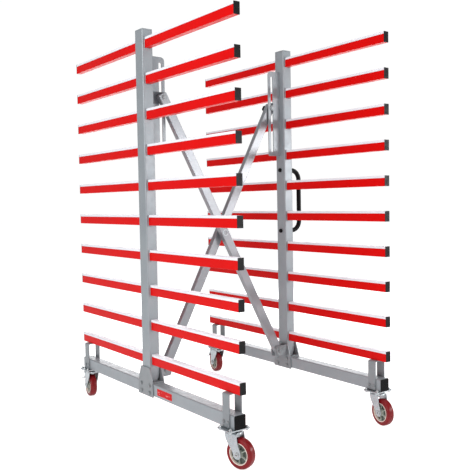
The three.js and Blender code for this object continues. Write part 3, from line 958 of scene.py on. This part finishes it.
def fork(corner, place):
    """Strap over the wheel, bearing cup, axle bolt and nuts. widths are (height, x from, x to)."""
    braked = corner.endswith("left")
    outer, inner, top = 28.5, 24.5, 149.7
    widths = []
    end_r = 18.5
    for k in range(10):
        t = math.radians(8 + 82 * k / 9)
        z = AXLE_Z - end_r * math.cos(t)
        half = end_r * math.sin(t)
        widths.append((z, TRAIL - half, TRAIL + half))
    if braked:
        widths += [
            (72, 12, 50.5),
            (84, 3, 49.5),
            (98, -8, 49),
            (106, -13, 50),
            (112, -17, 54),
            (118, -20, 59),
            (126, -23, 61),
            (135, -25, 61),
        ]
    else:
        widths += [
            (72, 12, 51),
            (84, 4, 47),
            (96, -6, 42),
            (108, -15, 38),
            (120, -21, 35),
            (130, -24, 33),
            (138, -26, 32),
        ]
    p = Piece(f"look_caster_fork_{corner}", place)
    p.add(strap(widths, outer, inner, top - 1.2, 9.0), ZINC)
    cup = [
        (8.6, 138.4),
        (33.0, 138.4),
        (35.6, 139.6),
        (36.0, 142.0),
        (36.0, 145.2),
        (34.4, 147.8),
        (31.0, 149.2),
        (22.0, 149.65),
        (8.6, 149.65),
    ]
    p.add(lathe("z", cup, 0, 0, 56, closed=True), ZINC)
    # Dark ring between the fork's cup and the plate: painted shade in the gap.
    shade_ring = [(26.9, 148.0), (30.2, 148.0), (30.2, 149.9), (26.9, 149.9)]
    p.add(lathe("z", shade_ring, 0, 0, 48, closed=True), DARK)
    p.add(disc("y", 5, -outer - 1, outer + 1, TRAIL, AXLE_Z, 24), BOLT_STEEL)
    for out in (-1, 1):
        p.bolt("y", TRAIL, AXLE_Z, out * outer, out, r=9, head=4.4, washer=11.5, turn=14)
        p.add(disc("y", 3.6, out * (outer + 3.5), out * (outer + 5), TRAIL, AXLE_Z, 20), DARK)
        if braked:
            rim = out * outer, out * (outer + 1.2)
            p.add(disc("y", 6.5, *rim, PEDAL_X, PEDAL_Z, 24), ZINC)
    p.done(f"fork_{corner}", f"caster_fork_{corner}", slot="zinc", bevel=0.7)


def wheel(corner, place):
    """Tread, pale rim, core, hub with bearing rings and six ribs on each face."""
    p = Piece(f"look_caster_wheel_{corner}", place @ Matrix.Translation((TRAIL, 0, AXLE_Z)))
    w = 18.0  # half width
    ribs = 6
    tread = [
        (43.0, -w + 1.2),
        (46.0, -w),
        (WHEEL_R - 9, -w),
        (WHEEL_R - 5.5, -w + 0.6),
        (WHEEL_R - 2.6, -w + 2.6),
        (WHEEL_R - 0.9, -w + 6),
        (WHEEL_R - 0.2, -w + 11),
        (WHEEL_R, 0),
    ]
    tread += [(r, -t) for r, t in reversed(tread[:-1])]
    p.add(lathe("y", tread, 0, 0, 72, closed=True), TREAD)
    rim = [(40.6, -9), (40.9, -15), (41.6, -w), (44.4, -w - 0.3), (45.2, -w + 0.6), (45.2, 0)]
    rim += [(r, -t) for r, t in reversed(rim)]
    rim += [(40.6, 0)]
    p.add(lathe("y", rim, 0, 0, 72, closed=True), RIM)
    # Web between the ribs in the darker plastic, as painted shade in the recess.
    core = [(14, -7.5), (41, -7.5), (41, 7.5), (14, 7.5)]
    p.add(lathe("y", core, 0, 0, 48, closed=True), WEB_SHADE)
    hub = [(5.4, -23), (9.5, -23), (10.2, -22), (15.5, -21.6), (17, -20), (17.5, -7), (17.5, 7), (17, 20)]
    hub += [(15.5, 21.6), (10.2, 22), (9.5, 23), (5.4, 23)]
    p.add(lathe("y", hub, 0, 0, 40, closed=True), SPOKE)
    for out in (-1, 1):
        ring = [(10.4, out * 21.5), (14.2, out * 21.5), (14.2, out * 22.3), (10.4, out * 22.3)]
        p.add(lathe("y", ring, 0, 0, 40, closed=True), DARK)
    for k in range(ribs):
        spin = Matrix.Rotation(2 * math.pi * k / ribs, 4, "Y")
        rib = [(15, -17, -3.2, 3.2), (28, -13, -2.4, 2.4), (40, -14.5, -3.2, 3.2)]
        for out in (-1, 1):
            rings = []
            for r, t, a, b in rib:
                rings.append([(a, 0, r), (b, 0, r), (b * 0.7, out * -t, r), (a * 0.7, out * -t, r)])
            p.add(loft(rings), SPOKE, spin)
    p.done(f"wheel_{corner}", f"caster_wheel_{corner}", slot="wheel", bevel=0.5, angle=38)


def pedal(corner, place):
    """Brake lever with a ridged foot plate, and its pin."""
    wide = 18.5
    p = Piece(f"look_brake_pedal_{corner}", place)
    lever = softened(
        [
            (43, 131, 2),
            (57, 128, 3),
            (77, 118.6, 6),
            (89, 106.5, 5),
            (97, 91, 1),
            (102, 90, 1),
            (95, 108.5, 6),
            (82, 123.4, 6),
            (60, 139.4, 5),
            (45, 139.4, 3),
        ],
        4,
    )
    p.add(prism("y", lever, -wide, wide), ZINC)
    foot = softened([(97, 88.6, 2), (128, 81.4, 2), (131, 84.6, 1.5), (126, 86, 3), (101, 92.6, 2)], 4)
    p.add(prism("y", foot, -28, 28), ZINC)
    for k in range(4):
        x = 105 + 6.4 * k
        z = 91.2 - (x - 101) * 0.26  # the foot plate's slope
        p.add(prism("y", rounded(x - 1.3, x + 1.3, z - 1, z + 1.2, 0.6, 2), -24, 24), DARK)
    p.add(disc("y", 3.6, -31.5, 31.5, PEDAL_X, PEDAL_Z, 20), BOLT_STEEL)
    for out in (-1, 1):
        p.add(disc("y", 5.2, out * 29.9, out * 31.5, PEDAL_X, PEDAL_Z, 24), BOLT_STEEL)
    p.done(f"pedal_{corner}", f"brake_pedal_{corner}", slot="zinc", bevel=0.6)


def label():
    """Small blank plate on the front base tube, with a rivet at each end."""
    x0, x1, z0, z1 = 100.0, 232.0, 176.0, 210.0
    face = base_low[1]
    backing = rounded(x0, x1, z0, z1, 2.5, 4)
    front = rounded(x0 + 1, x1 - 1, z0 + 1, z1 - 1, 1.8, 4)
    p = Piece("look_label")
    p.add(prism("y", backing, face - 0.45, face - SKIN), ZINC)
    p.add(prism("y", front, face - 0.8, face - 0.3), LABEL)
    for x in (x0 + 4.5, x1 - 4.5):
        p.add(disc("y", 1.1, face - 1.3, face - 0.4, x, (z0 + z1) / 2, 14), BOLT_STEEL)
    p.done("front_frame", bevel=0.12)


for half in ("front", "rear"):
    for level in range(1, LEVELS + 1):
        beam(half, level)
    column(half)
    base(half)
    for word in ("left", "right"):
        stay(half, word)
    foot_bracket(half)
    guide(half)
    slider(half)
    knob(half)
handle()
arm("scissor_arm_a", "arm_a", ARM_IN, ARM_TILT)
arm("scissor_arm_b", "arm_b", -ARM_OUT, -ARM_TILT)
centre_pin()
for corner, angle in TRAIL_ANGLE.items():
    x, y, _ = middle(f"caster_plate_{corner}")
    spot = Matrix.Translation((x, y, 0))
    swivel = spot @ Matrix.Rotation(math.radians(angle), 4, "Z")
    caster_plate(corner, spot)
    fork(corner, swivel)
    wheel(corner, swivel)
    if corner.endswith("left"):
        pedal(corner, swivel)
label()


# ---- Studio ----
def studio_floor():
    """Pale disc that is brighter to the camera than to the object."""
    bm = bmesh.new()
    rings = []
    for radius in (0.02, 2.0, 6.0, 14.0, 40.0):
        rings.append([bm.verts.new((x, y, 0.0)) for x, y in circle(0, 0, radius, 48)])
    bm.faces.new(rings[0])
    for a, b in zip(rings, rings[1:]):
        for k in range(48):
            bm.faces.new((a[k], a[(k + 1) % 48], b[(k + 1) % 48], b[k]))
    mesh = bpy.data.meshes.new("studio_floor")
    bm.to_mesh(mesh)
    bm.free()
    k = Look("studio_floor")
    k.set(
        Base_Color=k.ramp(
            k.noise(0.8), (0.3, (0.90, 0.90, 0.90, 1)), (0.7, (0.92, 0.92, 0.92, 1))
        ),
        Roughness=0.9,
        Specular_IOR_Level=0.0,
        Emission_Color=(1.0, 1.0, 1.0, 1.0),
        Emission_Strength=k.level(
            k.tree.nodes.new("ShaderNodeLightPath").outputs["Is Camera Ray"], 0.3, 0.72, 0.0, 1.0
        ),
    )
    mesh.materials.append(k.material)
    obj = bpy.data.objects.new("studio_floor", mesh)
    bpy.context.scene.collection.objects.link(obj)


def light(name, place, target, size, power, colour=(1, 1, 1)):
    data = bpy.data.lights.new(name, "AREA")
    data.shape = "RECTANGLE"
    data.size, data.size_y = size
    data.energy = power
    data.color = colour
    obj = bpy.data.objects.new(name, data)
    obj.location = place
    obj.rotation_euler = (Vector(target) - Vector(place)).to_track_quat("-Z", "Y").to_euler()
    bpy.context.scene.collection.objects.link(obj)
    return obj


studio_floor()
light("key", (1.6, -3.8, 2.4), (0, -0.2, 0.7), (2.6, 2.4), 100)
light("side", (3.4, 3.0, 1.45), (0, 0, 1.2), (3.6, 0.75), 90)
light("back", (-3.8, 2.9, 1.5), (0, 0, 0.4), (4.0, 1.6), 70)
light("top", (0, 0, 5.2), (0, 0, 0), (5.0, 5.0), 110)

world = bpy.data.worlds.new("studio")
bpy.context.scene.world = world
world.use_nodes = True
tree = world.node_tree
soft = tree.nodes["Background"]
soft.inputs["Color"].default_value = (0.95, 0.975, 1.0, 1.0)
soft.inputs["Strength"].default_value = 0.36
white = tree.nodes.new("ShaderNodeBackground")
white.inputs["Color"].default_value = (1.0, 1.0, 1.0, 1.0)
white.inputs["Strength"].default_value = 1.02
seen = tree.nodes.new("ShaderNodeLightPath")
swap = tree.nodes.new("ShaderNodeMixShader")
tree.links.new(seen.outputs["Is Camera Ray"], swap.inputs[0])
tree.links.new(soft.outputs[0], swap.inputs[1])
tree.links.new(white.outputs[0], swap.inputs[2])
tree.links.new(swap.outputs[0], tree.nodes["World Output"].inputs["Surface"])
bpy.context.scene.view_settings.view_transform = "Standard"


# ---- Camera ----
CAMERA_AT = (2.8564, -2.0530, 1.0672)
LENS_MM = 52.62
AZIMUTH, PITCH, ROLL = (math.radians(a) for a in (53.183, 2.691, -0.987))
forward = Vector(
    (-math.sin(AZIMUTH) * math.cos(PITCH), math.cos(AZIMUTH) * math.cos(PITCH), -math.sin(PITCH))
)
level_right = Vector((math.cos(AZIMUTH), math.sin(AZIMUTH), 0))
level_up = level_right.cross(forward)
right = level_right * math.cos(ROLL) + level_up * math.sin(ROLL)
up = level_up * math.cos(ROLL) - level_right * math.sin(ROLL)
data = bpy.data.cameras.new("camera")
data.lens = LENS_MM
data.sensor_width = 36.0
camera = bpy.data.objects.new("camera", data)
facing = Matrix((right, up, -forward)).transposed().to_4x4()
camera.matrix_world = Matrix.Translation(CAMERA_AT) @ facing
bpy.context.scene.collection.objects.link(camera)
bpy.context.scene.camera = camera

bpy.context.view_layer.update()
